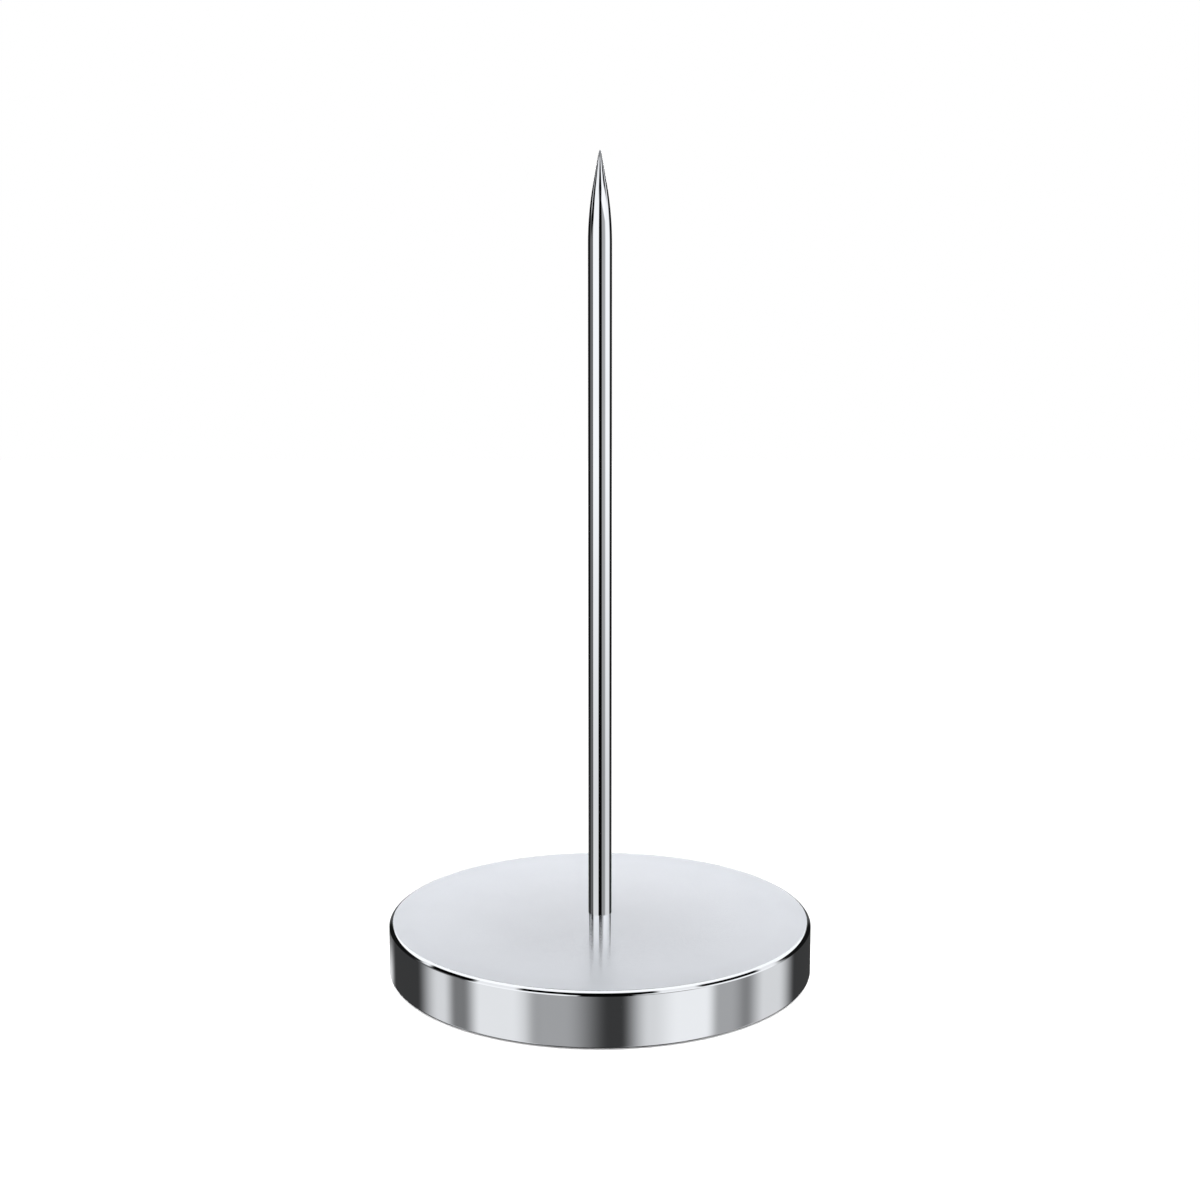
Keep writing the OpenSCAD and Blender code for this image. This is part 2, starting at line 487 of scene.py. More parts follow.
@dataclass(frozen=True)
class CellRubber:
    """Matt black closed-cell rubber sheet."""

    name: str = "black_cell_rubber"
    dark: Triple = (0.018, 0.018, 0.020)
    pale: Triple = (0.050, 0.050, 0.053)
    cell: float = 0.35 * MM
    cell_depth: float = 0.05 * MM
    cell_at: Pair = (0.1, 0.6)
    dust: Triple = (0.16, 0.155, 0.15)
    dust_patches: Cloud = Cloud(4.0 * MM, 6.0, 0.65)
    dusty: Ramp = Ramp(0.55, 0.8, 0.0, 0.25)
    dulled: Ramp = Ramp(0.3, 0.7, 0.78, 0.95)

    def paint(self) -> bpy.types.Material:
        """Make the material: cut cells, a little dust, and no shine.

        Returns:
            The material.
        """
        material, graph = new_material(self.name)
        place = graph.place()
        cells = graph.add("ShaderNodeTexVoronoi", {"Vector": place, "Scale": 1.0 / self.cell})
        patch = graph.noise(place, self.dust_patches)
        pitted = graph.span(cells.outputs["Distance"], *self.cell_at)
        body = graph.colours(pitted, (*self.dark, 1.0), (*self.pale, 1.0))
        colour = graph.colours(graph.span(patch, *self.dusty), body, (*self.dust, 1.0))
        rough = graph.span(patch, *self.dulled)
        surface(graph, Base_Color=colour, Roughness=rough, Normal=graph.raised(pitted, self.cell_depth))
        return material


# Modelling


def let_go_of_all() -> None:
    """Deselect every object, so that an operator acts on the new one alone."""
    for thing in bpy.context.selected_objects:
        thing.select_set(False)


@contextmanager
def edit_mode() -> Iterator[None]:
    """Stay in edit mode for the length of a with block."""
    bpy.ops.object.mode_set(mode="EDIT")
    yield
    bpy.ops.object.mode_set(mode="OBJECT")


class Bench:
    """One new piece on the bench, shaped with Blender's own operators."""

    def __init__(self, name: str, radius: float = 0.0, height: float = 0.0) -> None:
        """Take the primitive that was just added, and work its place and turn into its mesh.

        Args:
            name: The piece's name.
            radius: The radius of the cap that is drawn on next.
            height: The height of that cap.
        """
        bpy.ops.object.transform_apply(location=True, rotation=True, scale=True)
        self.piece = bpy.context.object
        self.piece.name = self.piece.data.name = name
        self.radius = radius
        self.height = height

    @classmethod
    def disc(cls, name: str, sides: int, radius: float, height: float) -> "Bench":
        """Start a piece as a filled circle about the Z axis.

        Args:
            name: The piece's name.
            sides: How many sides the circle has.
            radius: The circle's radius.
            height: The circle's height above the surface that the base stands on.

        Returns:
            The bench, with the circle picked.
        """
        let_go_of_all()
        bpy.ops.mesh.primitive_circle_add(
            vertices=sides, radius=radius, fill_type="NGON", location=(0.0, 0.0, height)
        )
        bench = cls(name, radius, height)
        bench.pick_level_face(height)
        return bench

    @classmethod
    def square(cls, name: str, size: float, middle: Triple) -> "Bench":
        """Start a piece as an upright square that faces along the Y axis.

        Args:
            name: The piece's name.
            size: The length of its sides.
            middle: The place of its middle.

        Returns:
            The bench.
        """
        let_go_of_all()
        bpy.ops.mesh.primitive_plane_add(size=size, location=middle, rotation=(math.pi / 2, 0.0, 0.0))
        return cls(name)

    def hold(self) -> None:
        """Select this piece alone and make it the active one."""
        let_go_of_all()
        self.piece.select_set(True)
        bpy.context.view_layer.objects.active = self.piece

    def pick(self, part: str, wanted: Callable[[object], bool]) -> None:
        """Select the faces, edges or points that a test holds for, and nothing else.

        Args:
            part: FACE, EDGE or VERT.
            wanted: The test.
        """
        with edit_mode():
            bpy.ops.mesh.select_mode(type=part)
            bpy.ops.mesh.select_all(action="DESELECT")
            shape = bmesh.from_edit_mesh(self.piece.data)
            for one in {"FACE": shape.faces, "EDGE": shape.edges, "VERT": shape.verts}[part]:
                if wanted(one):
                    one.select_set(True)
            shape.select_flush_mode()
            bmesh.update_edit_mesh(self.piece.data)

    def pick_level_face(self, height: float) -> None:
        """Select the flat faces at a height."""
        self.pick("FACE", lambda face: all(abs(end.co.z - height) < LEVEL_SLACK for end in face.verts))

    def round_ring(self, radius: float, height: float, shape: Round) -> None:
        """Round the ring of edges at a radius and a height.

        Args:
            radius: The ring's radius.
            height: The ring's height.
            shape: The rounded edge's shape.
        """

        def on_ring(edge: bmesh.types.BMEdge) -> bool:
            """Tell whether both ends of an edge are on the ring."""
            misses = [(end.co.xy.length - radius, end.co.z - height) for end in edge.verts]
            return all(abs(out) < RING_SLACK and abs(up) < RING_SLACK for out, up in misses)

        self.pick("EDGE", on_ring)
        width, facets, fullness = shape
        with edit_mode():
            bpy.ops.mesh.bevel(offset_type="OFFSET", offset=width, segments=facets, profile=fullness)

    def extrude_to(self, height: float) -> None:
        """Extrude the picked cap to a new height, from within edit mode."""
        rise = height - self.height
        bpy.ops.mesh.extrude_region_move(TRANSFORM_OT_translate={"value": (0.0, 0.0, rise)})
        self.height = height

    def draw_to(self, radius: float, height: float) -> None:
        """Extrude the picked cap to a new height and scale it to a new radius.

        Args:
            radius: The cap's new radius.
            height: The cap's new height.
        """
        share = radius / self.radius
        with edit_mode():
            self.extrude_to(height)
            bpy.ops.transform.resize(value=(share, share, 1.0), center_override=(0.0, 0.0, height))
        self.radius = radius

    def close_to_point(self, height: float) -> None:
        """Extrude the picked cap to a height and draw it together into one point.

        Args:
            height: The point's height.
        """
        with edit_mode():
            self.extrude_to(height)
            bpy.ops.mesh.merge(type="CENTER")

    def inset_face(self, height: float, start_radius: float, radius: float) -> None:
        """Inset the flat face at a height, and scale the new one, which stays picked, to a radius.

        Args:
            height: The face's height.
            start_radius: The face's radius.
            radius: The new face's radius.
        """
        self.pick_level_face(height)
        nudge = 0.01 * MM
        share = radius / (start_radius - nudge)
        with edit_mode():
            bpy.ops.mesh.inset(thickness=nudge, use_even_offset=False)
            bpy.ops.transform.resize(value=(share, share, 1.0), center_override=(0.0, 0.0, 0.0))
        self.radius, self.height = radius, height

    def drop_picked(self, part: str) -> None:
        """Delete the picked faces, edges or points (FACE, EDGE or VERT)."""
        with edit_mode():
            bpy.ops.mesh.delete(type=part)

    def cut_level(self, height: float, drop_above: bool) -> None:
        """Cut the piece level at a height and close the cut.

        Args:
            height: The cut's height.
            drop_above: Whether what lies above is dropped, or else what lies below.
        """
        with edit_mode():
            bpy.ops.mesh.select_all(action="SELECT")
            bpy.ops.mesh.bisect(
                plane_co=(0.0, 0.0, height),
                plane_no=(0.0, 0.0, 1.0),
                use_fill=True,
                clear_outer=drop_above,
                clear_inner=not drop_above,
                threshold=CUT_SLACK,
            )

    def close_up(self) -> None:
        """Merge doubled points and make the faces agree on which side is out."""
        with edit_mode():
            bpy.ops.mesh.select_all(action="SELECT")
            bpy.ops.mesh.remove_doubles(threshold=MERGE_WITHIN)
            bpy.ops.mesh.normals_make_consistent(inside=False)

    def finish_with(self, kind: str, **settings: object) -> None:
        """Add a modifier and apply it.

        Args:
            kind: Blender's name of the modifier's type.
            settings: The modifier's settings.
        """
        self.hold()
        modifier = self.piece.modifiers.new(kind.title(), kind)
        for name, value in settings.items():
            setattr(modifier, name, value)
        bpy.ops.object.modifier_apply(modifier=modifier.name)

    def work_with(self, tool: "Bench", operation: str) -> None:
        """Cut this piece with another or fuse the two, and put the other away.

        Args:
            tool: The bench that holds the other piece.
            operation: UNION, DIFFERENCE or INTERSECT.
        """
        self.finish_with("BOOLEAN", operation=operation, object=tool.piece, solver="EXACT")
        bpy.data.objects.remove(tool.piece, do_unlink=True)

    def smooth(self, sharpest: float) -> None:
        """Shade the piece smooth, with edges sharper than an angle in degrees kept crisp."""
        self.hold()
        bpy.ops.object.shade_smooth_by_angle(angle=math.radians(sharpest))


def dress(piece: bpy.types.Object, material: bpy.types.Material) -> None:
    """Give a piece one material all over.

    Args:
        piece: The piece.
        material: The material.
    """
    if not piece.material_slots:
        piece.data.materials.append(material)
    for place in piece.material_slots:
        place.material = material


def report(piece: bpy.types.Object, words: str) -> None:
    """Log a finished piece and what was done to it."""
    log.info("%s: %s, %d faces", piece.name, words, len(piece.data.polygons))


def dress_node(name: str, material: bpy.types.Material) -> None:
    """Give a CAD node, which keeps its shape, one material all over.

    Args:
        name: The node's name.
        material: The material.
    """
    node = frame["nodes"][name]
    dress(node, material)
    report(node, "dressed in " + material.name)


# The object


@dataclass
class Spike:
    """The chromed rod: ground point, straight shank, shoulder and threaded tail."""

    shank_r: float = 2.2 * MM
    shoulder_z: float = 10.0 * MM
    tip_z: float = 152.0 * MM
    tip_r: float = 0.2 * MM
    point_angle: float = math.radians(10.3)
    blend_r: float = 60.0 * MM
    arc_rings: int = 20
    cone_rings: int = 4
    ball_rings: int = 6
    tail_r: float = 1.5 * MM
    tail_end_z: float = 1.5 * MM
    chamfer_past: float = 0.2 * MM
    thread_top_z: float = 5.75 * MM
    thread_pitch: float = 0.5 * MM
    thread_play: float = 0.03 * MM
    thread_share: float = 0.5413
    thread_cuts: int = 3
    crest_moves: Line = ((0.5, 9 / 16), (0.75, 11 / 16))
    crest_slack: float = 0.01 * MM
    spare_turns: int = 2
    join_past: float = 0.3 * MM
    sides: int = 128
    thread_sides: int = 48
    crisp_past: float = 30.0
    finish: Chrome = Chrome("bright_chrome_rod", Lay.UP_THE_AXIS, gloss=0.02, haze=0.015)

    def point_rings(self) -> list[Pair]:
        """Work out the rings of the point, from the shank up to just below the very tip.

        Returns:
            The radius and the height of each ring.
        """
        middle_r = self.shank_r - self.blend_r
        ball_z = self.tip_z - self.tip_r
        cone_low_r = middle_r + self.blend_r * math.cos(self.point_angle)
        cone_top_r = self.tip_r * math.cos(self.point_angle)
        cone_top_z = ball_z + self.tip_r * math.sin(self.point_angle)
        cone_low_z = cone_top_z - (cone_low_r - cone_top_r) / math.tan(self.point_angle)
        arc_low_z = cone_low_z - self.blend_r * math.sin(self.point_angle)
        rings = []
        for step in range(self.arc_rings + 1):
            turn = self.point_angle * step / self.arc_rings
            height = arc_low_z + self.blend_r * math.sin(turn)
            rings.append((middle_r + self.blend_r * math.cos(turn), height))
        for step in range(1, self.cone_rings + 1):
            share = step / self.cone_rings
            height = cone_low_z + (cone_top_z - cone_low_z) * share
            rings.append((cone_low_r + (cone_top_r - cone_low_r) * share, height))
        for step in range(1, self.ball_rings):
            turn = self.point_angle + (math.pi / 2 - self.point_angle) * step / self.ball_rings
            rings.append((self.tip_r * math.cos(turn), ball_z + self.tip_r * math.sin(turn)))
        return rings

    def build_shank(self) -> Bench:
        """Draw the shank up from its shoulder, ring by ring to the tip, and the plain tail down from it.

        Returns:
            The bench with the shank on it.
        """
        bench = Bench.disc("spike_rod", self.sides, self.shank_r, self.shoulder_z)
        for radius, height in self.point_rings():
            bench.draw_to(radius, height)
        bench.close_to_point(self.tip_z)
        bench.close_up()
        bench.inset_face(self.shoulder_z, self.shank_r, self.tail_r)
        bench.draw_to(self.tail_r, self.thread_top_z)
        bench.close_up()
        return bench

    def build_thread(self) -> Bench:
        """Run the thread's form up a helix, cut it level and chamfer its end.

        Returns:
            The bench with the threaded stretch on it.
        """
        pitch = self.thread_pitch
        root_r = self.tail_r - self.thread_share * pitch
        crest_r = self.tail_r - self.thread_play
        top_z = self.thread_top_z + self.join_past
        turns = math.ceil((top_z - self.tail_end_z) / pitch) + self.spare_turns
        low_z = self.tail_end_z - pitch

        bench = Bench.square("spike_thread", pitch, (root_r - pitch / 2, 0.0, low_z + pitch / 2))
        bench.pick("VERT", lambda corner: corner.co.x < root_r - pitch / 2)
        bench.drop_picked("VERT")
        bench.pick("EDGE", lambda edge: True)
        with edit_mode():
            bpy.ops.mesh.subdivide(number_cuts=self.thread_cuts)
        for start, end in self.crest_moves:
            bench.pick("VERT", lambda corner: abs(corner.co.z - low_z - start * pitch) < self.crest_slack)
            shift = (crest_r - root_r, 0.0, (end - start) * pitch)
            with edit_mode():
                bpy.ops.transform.translate(value=shift)
        bench.finish_with(
            "SCREW",
            axis="Z",
            angle=math.tau,
            screw_offset=pitch,
            iterations=turns,
            steps=self.thread_sides,
            render_steps=self.thread_sides,
            use_merge_vertices=False,
        )
        bench.close_up()
        bench.cut_level(self.tail_end_z, drop_above=False)
        bench.cut_level(top_z, drop_above=True)
        bench.close_up()

        bar = Bench.disc("thread_blank", self.thread_sides * 2, root_r, self.tail_end_z)
        slope_r = self.tail_r + self.chamfer_past
        bar.draw_to(slope_r, self.tail_end_z + slope_r - root_r)
        bar.draw_to(slope_r, top_z)
        bar.close_up()
        bench.work_with(bar, "INTERSECT")
        return bench

    def build(self) -> None:
        """Make the rod as one piece and dress it. The fusing leaves its hidden lower end partly open."""
        bench = self.build_shank()
        bench.work_with(self.build_thread(), "UNION")
        bench.close_up()
        bench.smooth(self.crisp_past)
        dress(bench.piece, self.finish.paint())
        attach(bench.piece, ROOT)
        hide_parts("spike")
        report(bench.piece, "drawn from its shoulder both ways and threaded")


@dataclass
class Base:
    """The round base: a pressed chrome cover over a cast-iron weight."""

    outer_r: float = 40.0 * MM
    low_z: float = 0.3 * MM
    top_z: float = 10.0 * MM
    wall: float = 0.5 * MM
    top_edge: Round = Round(0.8 * MM, 16, 0.4)
    roll: Round = Round(0.35 * MM, 10)
    lip_r: float = 37.0 * MM
    hole_r: float = 1.65 * MM
    sides: int = 256
    crisp_past: float = 35.0
    iron: CastIron = CastIron()

    def sheet_finish(self) -> Chrome:
        """Choose the cover's chrome, mirror-bright on the rim and duller towards the edge of the top.

        Returns:
            The finish.
        """
        return Chrome(
            "bright_chrome_sheet",
            Lay.ACROSS_THE_TOP,
            face_height=self.top_z,
            clear_inner_r=2.2 * MM,
            clear_outer_r=34.0 * MM,
            clear_most=1.0,
            mirror_most=0.6,
        )

    def build_cover(self) -> None:
        """Press the cover: a cup with rounded edges, a rolled-in lip and a hole for the spike's tail."""
        bench = Bench.disc("chrome_cover", self.sides, self.outer_r, self.low_z)
        bench.draw_to(self.outer_r, self.top_z)
        bench.close_up()
        bench.round_ring(self.outer_r, self.top_z, self.top_edge)
        bench.round_ring(self.outer_r, self.low_z, self.roll)
        bench.inset_face(self.top_z, self.outer_r - self.top_edge.radius, self.hole_r)
        bench.drop_picked("FACE")
        bench.inset_face(self.low_z, self.outer_r - self.roll.radius, self.lip_r)
        bench.drop_picked("FACE")
        bench.close_up()
        bench.finish_with("SOLIDIFY", thickness=self.wall, offset=-1.0, use_even_offset=True, use_rim=True)
        bench.smooth(self.crisp_past)
        bench.finish_with("WEIGHTED_NORMAL", keep_sharp=True, weight=100)
        dress(bench.piece, self.sheet_finish().paint())
        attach(bench.piece, ROOT)
        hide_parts("base_cover")
        report(bench.piece, "pressed from one sheet")

    def build(self) -> None:
        """Make the cover and dress the weight."""
        self.build_cover()
        dress_node("base_weight", self.iron.paint())


@dataclass
class Fastening:
    """The nut and the two washers that hold the spike down."""

    zinc: SmallHardware = SmallHardware("bright_zinc_plate", (0.70, 0.72, 0.75), (0.56, 0.59, 0.63), 0.24)
    spring: SmallHardware = SmallHardware("oiled_spring_steel", (0.30, 0.30, 0.31), (0.17, 0.16, 0.16), 0.34)

    def build(self) -> None:
        """Dress the three CAD nodes."""
        plated, oiled = self.zinc.paint(), self.spring.paint()
        for name, material in (("flat_washer", plated), ("lock_washer", oiled), ("hex_nut", plated)):
            dress_node(name, material)


@dataclass
class Underside:
    """The non-slip pad and the adhesive disc that holds it."""

    pad_r: float = 36.7 * MM
    pad_t: float = 1.0 * MM
    worn_edge: Round = Round(0.2 * MM, 5)
    cut_edge: Round = Round(0.04 * MM, 2)
    sides: int = 192
    crisp_past: float = 40.0
    rubber: CellRubber = CellRubber()
    film: AdhesiveFilm = AdhesiveFilm()

    def build_pad(self) -> None:
        """Cut the pad from its sheet, with the softened lower edge that wear gives it."""
        bench = Bench.disc("rubber_pad", self.sides, self.pad_r, 0.0)
        bench.draw_to(self.pad_r, self.pad_t)
        bench.close_up()
        bench.round_ring(self.pad_r, 0.0, self.worn_edge)
        bench.round_ring(self.pad_r, self.pad_t, self.cut_edge)
        bench.close_up()
        bench.smooth(self.crisp_past)
        bench.finish_with("WEIGHTED_NORMAL", keep_sharp=True, weight=100)
        dress(bench.piece, self.rubber.paint())
        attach(bench.piece, ROOT)
        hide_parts("grip_pad")
        report(bench.piece, "cut from rubber sheet")

    def build(self) -> None:
        """Make the pad and dress the adhesive disc."""
        self.build_pad()
        dress_node("pad_adhesive", self.film.paint())


# The studio


@dataclass(frozen=True)
class Card:
    """One panel of the studio as chrome shows it: its sides and their fades in degrees, and its grey."""

    name: str
    left: float
    right: float
    grey: float
    left_fade: float
    right_fade: float


@dataclass(frozen=True)
class Way:
    """The direction that a reflection looks in, in degrees and in the ways that the studio is laid out by."""

    azimuth: Socket
    around: Socket
    height: Socket
    column: Socket
    tilt: Socket

    @staticmethod
    def measure(graph: Graph, down: float) -> "Way":
        """Measure the direction.

        Column and tilt are the heading and the slope of a surface that mirrors the direction to the front.

        Args:
            graph: The world's node tree.
            down: How far down the front looks at the base, in degrees.

        Returns:
            The azimuth from the front, its size, the height, and the column and tilt.
        """
        place = graph.add("ShaderNodeTexCoord").outputs["Generated"]
        x, y, z = graph.add("ShaderNodeSeparateXYZ", {0: place}).outputs
        azimuth = graph.sum("DEGREES", graph.sum("ARCTAN2", x, graph.times(y, -1.0)))
        slope = math.radians(down)
        ahead = graph.sum("SUBTRACT", math.cos(slope), y)
        reach = graph.sum("ADD", graph.times(x, x), graph.times(ahead, ahead))
        rise = graph.sum("ADD", z, math.sin(slope))
        return Way(
            azimuth=azimuth,
            around=graph.sum("ABSOLUTE", azimuth),
            height=graph.sum("DEGREES", graph.sum("ARCSINE", z)),
            column=graph.sum("DEGREES", graph.sum("ARCTAN2", x, ahead)),
            tilt=graph.sum("DEGREES", graph.sum("ARCTAN2", rise, graph.sum("SQRT", reach))),
        )


@dataclass(frozen=True)
class Surround:
    """A ring of panels over a plain room."""

    room: float
    cards: tuple[Card, ...]

    def level(self, graph: Graph, heading: Socket) -> Socket:
        """Work out how bright the surround is at a heading.

        Args:
            graph: The world's node tree.
            heading: The azimuth or the column, in degrees from -180 to 180.

        Returns:
            The brightness, as linear light.
        """
        level: Feed = lamp_level(self.room)
        for card in self.cards:
            here = graph.window(heading, card.left, card.right, card.left_fade, card.right_fade)
            level = graph.between(here, level, lamp_level(card.grey), card.name)
        return level


def lamp_level(grey: float, mirror: float = 0.815) -> float:
    """Turn the grey that chrome shows, from 0 to 1, into the linear light that it has to be given."""
    linear = grey / 12.92 if grey <= 0.04045 else ((grey + 0.055) / 1.055) ** 2.4
    return linear / mirror


@dataclass
class Studio:
    """The plain pale floor, the soft light and the camera. Angles are in degrees."""

    camera_at: Triple = (0.0, -0.2659, 0.1004)
    camera_down: float = 6.48
    camera_range: Pair = (0.01, 50.0)
    lens: float = 42.93
    sensor: float = 36.0
    floor_size: float = 12.0
    floor_cloud: Cloud = Cloud(0.4, 2.0, 0.5)
    floor_mottle: Ramp = Ramp(0.3, 0.7, 1.0, 1.02)
    # Painted light: the floor's grey is paler close round the base, to fill in the shadow that the base
    # casts. Far out it is an even mid grey, which the strong soft light makes white.
    floor_grey_with_painted_light: Line = (
        (40.0 * MM, 0.58), (42.0 * MM, 0.47), (45.0 * MM, 0.38), (50.0 * MM, 0.31),
        (60.0 * MM, 0.27), (80.0 * MM, 0.245), (120.0 * MM, 0.237),
    )
    soft_light: float = 4.5
    edge_view_down: float = 18.8
    rod_room: Surround = Surround(
        0.07,
        (
            Card("left back strip", -170.0, -154.0, 0.32, 3.0, 3.0),
            Card("left wall", -107.0, -74.0, 0.42, 7.0, 4.0),
            Card("key softbox", -70.5, -10.5, 0.97, 3.5, 2.0),
            Card("camera gap", -10.5, 18.0, 0.02, 2.0, 2.5),
            Card("side strip", 18.0, 60.0, 0.64, 2.5, 6.0),
            Card("fill softbox", 52.0, 106.0, 0.965, 8.0, 8.0),
            Card("right back strip", 154.0, 170.0, 0.32, 3.0, 3.0),
        ),
    )
    rim_room: Surround = Surround(
        0.215,
        (
            Card("left fill", -104.0, -80.0, 0.83, 10.0, 6.0),
            Card("left gap", -86.0, -72.0, 0.46, 5.0, 6.0),
            Card("key softbox", -71.0, -34.0, 0.89, 6.0, 6.0),
            Card("key falling off", -38.0, -7.0, 0.62, 9.0, 12.0),
            Card("fill softbox", 18.5, 66.0, 0.83, 8.0, 6.0),
            Card("fill centre", 34.0, 61.0, 0.925, 8.0, 5.0),
            Card("side strip", 62.0, 84.0, 0.63, 5.0, 6.0),
            Card("side gap", 78.0, 94.0, 0.50, 6.0, 6.0),
            Card("right fill", 90.0, 118.5, 0.83, 7.0, 10.0),
        ),
    )
    flag_room: Surround = Surround(
        0.92,
        (
            Card("left flag", -50.0, -34.5, 0.02, 1.5, 1.5),
            Card("front flag", -21.5, 15.0, 0.02, 1.5, 1.5),
            Card("right flag", 26.5, 46.0, 0.02, 1.5, 1.5),
        ),
    )
    black: float = 0.02
    soft_edge: Ramp = Ramp(-1.0, 1.0)
    room_shade: Ramp = Ramp(-14.0, -1.0, 0.74, 1.0, smooth=False)
    rear_around: Ramp = Ramp(112.0, 124.0)
    rear_top: Ramp = Ramp(-19.0, -7.0, 1.0, 0.0)
    rear_grey: float = 0.2
    wall_sides: Window = Window(-107.0, -70.0, 3.0)
    wall_top: Ramp = Ramp(16.0, 18.0)
    strip_sides: Window = Window(18.0, 62.0, 2.5)
    strip_top: Ramp = Ramp(18.0, 52.0, 23.0, 15.0, smooth=False)
    gap_sides: Window = Window(-18.0, 24.0, 3.0)
    gap_top: Ramp = Ramp(22.0, 29.0)
    gap_foot_sides: Window = Window(-15.5, 0.0, 2.0)
    gap_foot: Ramp = Ramp(-12.0, -1.0, 1.0, 0.0)
    ceiling_foot: Ramp = Ramp(0.0, 180.0, 43.0, 14.0, smooth=False)
    ceiling_around: Ramp = Ramp(105.0, 118.0)
    flag_sides: Window = Window(-54.0, 54.0, 2.0)
    flag_foot: Ramp = Ramp(25.0, 27.0)
    flag_head: Ramp = Ramp(42.0, 44.0)
    left_flag_sides: Window = Window(-50.0, -34.5, 1.5)
    left_flag_foot: Ramp = Ramp(19.0, 21.0)
    backdrop: Line = (
        (11.6, 5.9), (13.6, 5.9), (14.8, 1.0), (16.2, 0.95), (22.0, 0.52), (26.0, 0.12), (30.0, 0.07)
    )
    backdrop_tilt: Ramp = Ramp(66.0, 69.0)
    backdrop_around: Ramp = Ramp(150.0, 160.0)
    backdrop_foot: Ramp = Ramp(11.2, 11.8)
    backdrop_tint: Triple = (0.955, 0.965, 1.0)
    rim_top: Ramp = Ramp(-19.15, -18.95)
    patch_sides: Window = Window(-172.0, -152.0, 8.0)
    patch_top: Ramp = Ramp(-21.0, -19.0, 1.0, 0.0)
    patch_grey: float = 0.82
    pit_around: Ramp = Ramp(120.0, 150.0)
    pit_top: Ramp = Ramp(-34.0, -26.0, 1.0, 0.0)
    pit_floor: Ramp = Ramp(-66.0, -56.0, 1.0, 0.0)
    pit_grey: float = 0.1

    def upper_level(self, graph: Graph, way: Way) -> Socket:
        """Work out what the rod, the flat top and the top's rounded edge mirror.

        Args:
            graph: The world's node tree.
            way: The direction that is looked in.

        Returns:
            The brightness, as linear light.
        """
        white, black = lamp_level(1.0), lamp_level(self.black)
        level = self.rod_room.level(graph, way.azimuth)
        level = graph.times(level, graph.span(way.height, *self.room_shade))
        rear = graph.times(graph.span(way.around, *self.rear_around), graph.span(way.height, *self.rear_top))
        level = graph.between(rear, level, lamp_level(self.rear_grey), "low rear")

        wall = graph.window(way.azimuth, *self.wall_sides)
        wall = graph.times(wall, graph.span(way.height, *self.wall_top))
        over_strip = graph.sum("SUBTRACT", way.height, graph.span(way.azimuth, *self.strip_top))
        strip = graph.window(way.azimuth, *self.strip_sides)
        strip = graph.times(strip, graph.span(over_strip, *self.soft_edge))
        level = graph.between(graph.sum("MAXIMUM", wall, strip), level, white, "over the wall and the strip")
        gap_top = graph.window(way.azimuth, *self.gap_sides)
        gap_top = graph.times(gap_top, graph.span(way.height, *self.gap_top))
        gap_foot = graph.window(way.azimuth, *self.gap_foot_sides)
        gap_foot = graph.times(gap_foot, graph.span(way.height, *self.gap_foot))
        level = graph.between(graph.sum("MAXIMUM", gap_top, gap_foot), level, black, "ends of the camera gap")

        over = graph.sum("SUBTRACT", way.height, graph.span(way.around, *self.ceiling_foot))
        over = graph.span(over, *self.soft_edge)
        ceiling = graph.times(over, graph.span(way.around, *self.ceiling_around))
        level = graph.between(ceiling, level, white, "rear ceiling")
        flags = graph.times(graph.window(way.column, *self.flag_sides), graph.span(way.tilt, *self.flag_foot))
        level = graph.between(flags, level, self.flag_room.level(graph, way.column), "flags")
        left_flag = graph.window(way.column, *self.left_flag_sides)
        left_flag = graph.times(left_flag, graph.span(way.tilt, *self.left_flag_foot))
        level = graph.between(left_flag, level, black, "foot of the left flag")
        ceiling = graph.times(over, graph.span(way.tilt, *self.flag_head))
        return graph.between(ceiling, level, white, "ceiling")

    def backdrop_share(self, graph: Graph, way: Way) -> Socket:
        """Work out where the backdrop is, straight behind the object and a little up.

        Args:
            graph: The world's node tree.
            way: The direction that is looked in.

        Returns:
            The share of the backdrop, from 0 to 1.
        """
        behind = graph.span(way.around, *self.backdrop_around)
        share = graph.times(graph.span(way.tilt, *self.backdrop_tilt), behind)
        return graph.times(share, graph.span(way.height, *self.backdrop_foot))

    def lower_level(self, graph: Graph, way: Way) -> Socket:
        """Work out what the rim mirrors, which looks down past the foot of the upper panels.

        Args:
            graph: The world's node tree.
            way: The direction that is looked in.

        Returns:
            The brightness, as linear light.
        """
        level = self.rim_room.level(graph, way.azimuth)
        patch = graph.window(way.azimuth, *self.patch_sides)
        patch = graph.times(patch, graph.span(way.height, *self.patch_top))
        level = graph.between(patch, level, lamp_level(self.patch_grey), "rear patch")
        rear = graph.times(graph.span(way.around, *self.pit_around), graph.span(way.height, *self.pit_top))
        pit = graph.sum("MAXIMUM", rear, graph.span(way.height, *self.pit_floor))
        return graph.between(pit, level, lamp_level(self.pit_grey), "dark underneath")

    def light(self) -> None:
        """Light the object with a surround that only reflections see, and an even white for all else."""
        world = bpy.data.worlds.new("plain_studio")
        bpy.context.scene.world = world
        world.use_nodes = True
        world.cycles.sampling_method = "NONE"
        graph = Graph(world.node_tree)
        way = Way.measure(graph, self.edge_view_down)

        behind = self.backdrop_share(graph, way)
        seen = graph.between(behind, self.upper_level(graph, way), graph.line(way.height, self.backdrop))
        seen = graph.between(graph.span(way.height, *self.rim_top), self.lower_level(graph, way), seen)

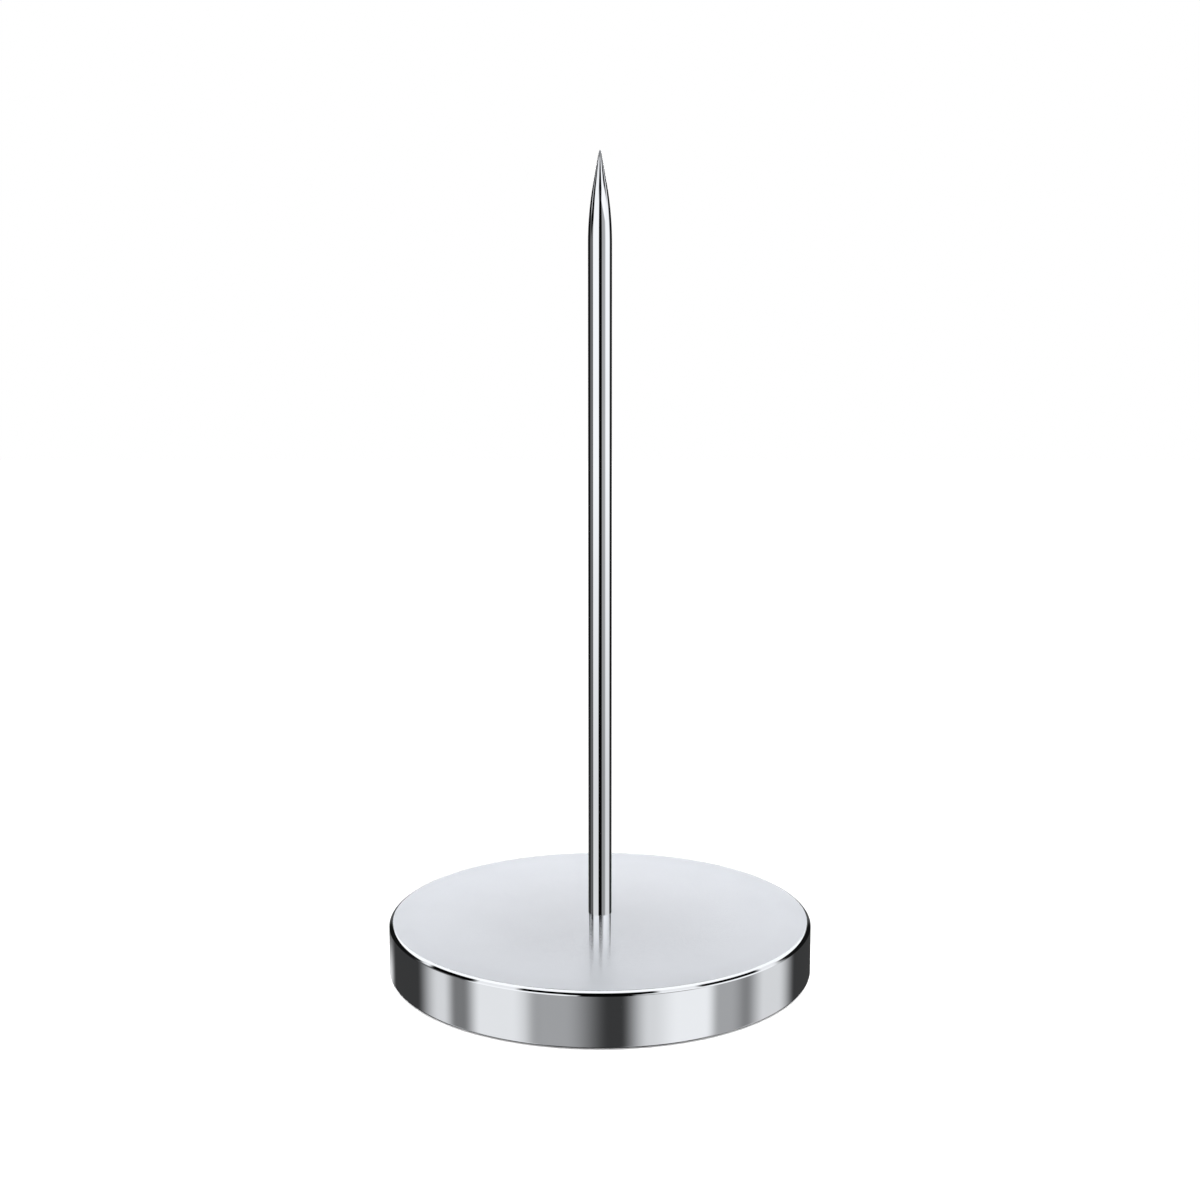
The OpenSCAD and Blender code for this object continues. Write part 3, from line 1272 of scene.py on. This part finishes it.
        ray = graph.add("ShaderNodeLightPath")
        level = graph.between(ray.outputs["Is Glossy Ray"], self.soft_light, seen)
        level = graph.between(ray.outputs["Is Camera Ray"], level, 1.0)
        cool = graph.times(behind, ray.outputs["Is Glossy Ray"])
        colour = graph.colours(cool, (1.0, 1.0, 1.0, 1.0), (*self.backdrop_tint, 1.0))
        back = graph.add("ShaderNodeBackground", {"Color": colour, "Strength": level})
        graph.add("ShaderNodeOutputWorld", {"Surface": back.outputs[0]})
        log.info("studio: lit")

    def lay_floor(self) -> None:
        """Lay the plain pale floor, just white in the soft light, with painted light round the base: its
        paint is paler close to the base, to fill in the shadow that the base casts.
        """
        let_go_of_all()
        bpy.ops.mesh.primitive_plane_add(size=self.floor_size, location=(0.0, 0.0, 0.0))
        floor = bpy.context.object
        floor.name = floor.data.name = "studio_floor"
        material, graph = new_material("pale_floor_with_painted_light")
        place = graph.place()
        radius, _ = graph.from_axis(place)
        mottle = graph.span(graph.noise(place, self.floor_cloud), *self.floor_mottle)
        # Painted light: the paler paint close round the base fills in the shadow that the base casts.
        grey = graph.times(graph.line(radius, self.floor_grey_with_painted_light), mottle)
        surface(graph, Base_Color=grey, Roughness=1.0, Specular_IOR_Level=0.0)
        dress(floor, material)
        log.info("studio: floor laid")

    def clear_the_foot(self) -> None:
        """Keep all but the rod out of reflections, so that the rod's foot shows the studio like the rest."""
        for piece in bpy.data.objects:
            if piece.type == "MESH" and piece.name != "spike_rod":
                piece.visible_glossy = False

    def place_camera(self) -> None:
        """Stand the camera where the photograph was taken from."""
        lens = bpy.data.cameras.new("camera")
        lens.sensor_width = self.sensor
        lens.sensor_fit = "AUTO"
        lens.lens = self.lens
        lens.clip_start, lens.clip_end = self.camera_range
        camera = bpy.data.objects.new("camera", lens)
        bpy.context.scene.collection.objects.link(camera)
        camera.location = self.camera_at
        down = math.radians(self.camera_down)
        ahead = Vector((0.0, math.cos(down), -math.sin(down)))
        camera.rotation_euler = ahead.to_track_quat("-Z", "Y").to_euler()
        bpy.context.scene.camera = camera
        log.info("studio: camera placed")

    def build(self) -> None:
        """Set up the floor, the light, the camera and plain colour handling."""
        self.lay_floor()
        self.clear_the_foot()
        self.light()
        self.place_camera()
        bpy.context.scene.view_settings.view_transform = "Standard"


def main() -> None:
    """Build the object from the surface up, then the studio round it."""
    logging.basicConfig(level=logging.INFO, format="%(message)s")
    Underside().build()
    Base().build()
    Fastening().build()
    Spike().build()
    Studio().build()


if __name__ == "__main__":
    main()
